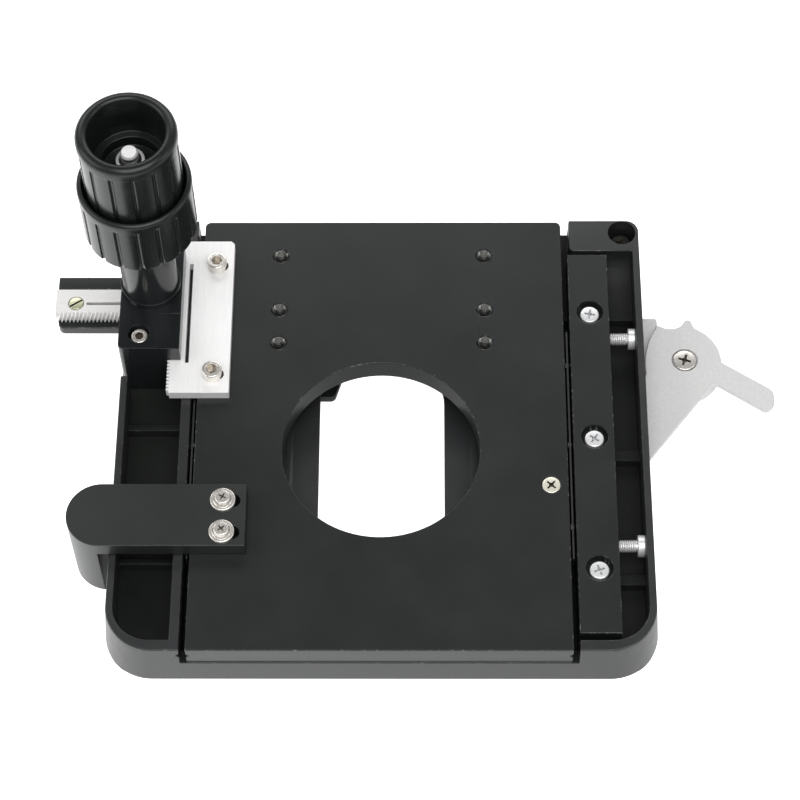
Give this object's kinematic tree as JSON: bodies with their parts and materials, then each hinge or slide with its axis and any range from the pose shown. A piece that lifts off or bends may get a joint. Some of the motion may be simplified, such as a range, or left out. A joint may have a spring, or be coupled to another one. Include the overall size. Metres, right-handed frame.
{
  "type": "mechanical microscope stage",
  "caption": "Built-up microscope object stage, underside up: ball-guided front-to-rear slide, cross slide with slide holder, coaxial rack-and-pinion knobs.",
  "frame": {"origin": "centre of the round light hole at the mounting face of the base plate", "axes": "+Z out of the mounting face (the working side of the stage looks down), +Y to the rear of the stage, +X away from the drive knobs"},
  "size_m": [0.1706, 0.1143, 0.0882],
  "materials": {
    "black_casting": "satin black paint on a casting",
    "black_plate": "black anodised machined plate",
    "black_housing": "semi-gloss black",
    "knob_black": "moulded black, fluted",
    "nickel_rack": "brushed bright rack",
    "bright_aluminium": "satin sheet",
    "bright_screw": "nickel-plated screws",
    "yellow_zinc": "yellow zinc-plated screws",
    "ground_steel": "ground shafts",
    "ball_steel": "polished balls",
    "cage_black": "black strip",
    "spring_steel": "spring wire"
  },
  "bodies": {
    "base_frame": {"base_plate": "black_plate", "y_rack": "nickel_rack", "y_rack_screws": "bright_screw", "index_arm": "black_plate", "index_arm_screws": "bright_screw", "stop_screw": "yellow_zinc"},
    "y_stage": {"stage_casting": "black_casting", "gib_strip": "black_plate", "gib_screws": "bright_screw", "gib_adjusting_screws": "bright_screw", "drive_housing": "black_housing", "housing_screws": "bright_screw", "x_guide_rail": "black_plate", "rail_end_screws": "bright_screw", "x_guide_rail_screws": "bright_screw"},
    "left_cage": {"ball_cage_left": "cage_black", "guide_balls_left": "ball_steel"},
    "right_cage": {"ball_cage_right": "cage_black", "guide_balls_right": "ball_steel"},
    "large_knob_drive": {"large_knob": "knob_black", "y_pinion_shaft": "ground_steel"},
    "small_knob_drive": {"small_knob": "knob_black", "x_pinion_shaft": "ground_steel", "retaining_ring": "bright_screw"},
    "x_carriage": {"x_carriage_bar": "black_plate", "x_rack": "nickel_rack", "x_rack_screws": "yellow_zinc", "finger_bracket": "bright_aluminium", "fixed_jaw": "black_plate", "holder_screws": "bright_screw", "pivot_screw": "bright_screw", "finger_spring": "spring_steel"},
    "finger": {"spring_finger": "bright_aluminium"}
  },
  "joints": [
    {"name": "y_slide", "type": "slide", "parent": "base_frame", "child": "y_stage", "axis": [0, 1, 0], "range_m": [-0.023, 0.013]},
    {"name": "left_cage_roll", "type": "slide", "parent": "base_frame", "child": "left_cage", "axis": [0, 1, 0], "range_m": [-0.0116, 0.0066]},
    {"name": "right_cage_roll", "type": "slide", "parent": "base_frame", "child": "right_cage", "axis": [0, 1, 0], "range_m": [-0.0116, 0.0066]},
    {"name": "large_knob_turn", "type": "hinge", "parent": "y_stage", "child": "large_knob_drive", "pos_m": [-0.0534, 0.039, 0], "axis": [0, 0, 1], "range_deg": [-175, 306]},
    {"name": "x_slide", "type": "slide", "parent": "y_stage", "child": "x_carriage", "axis": [1, 0, 0], "range_m": [-0.062, 0.013]},
    {"name": "small_knob_turn", "type": "hinge", "parent": "y_stage", "child": "small_knob_drive", "pos_m": [-0.0534, 0.039, 0], "axis": [0, 0, 1], "range_deg": [-230, 1081]},
    {"name": "finger_swing", "type": "hinge", "parent": "x_carriage", "child": "finger", "pos_m": [0.0717, 0.0316, -0.0149], "axis": [0, 0, 1], "range_deg": [0, 35], "stiffness_Nm_per_rad": 0.05, "springref_deg": -45.84}
  ],
  "couplings": [
    {"joint": "left_cage_roll", "follows": "y_slide", "ratio": 0.5},
    {"joint": "right_cage_roll", "follows": "y_slide", "ratio": 0.5},
    {"joint": "large_knob_turn", "follows": "y_slide", "rad_per_m": -229.89},
    {"joint": "small_knob_turn", "follows": "x_slide", "rad_per_m": -303.03}
  ]
}
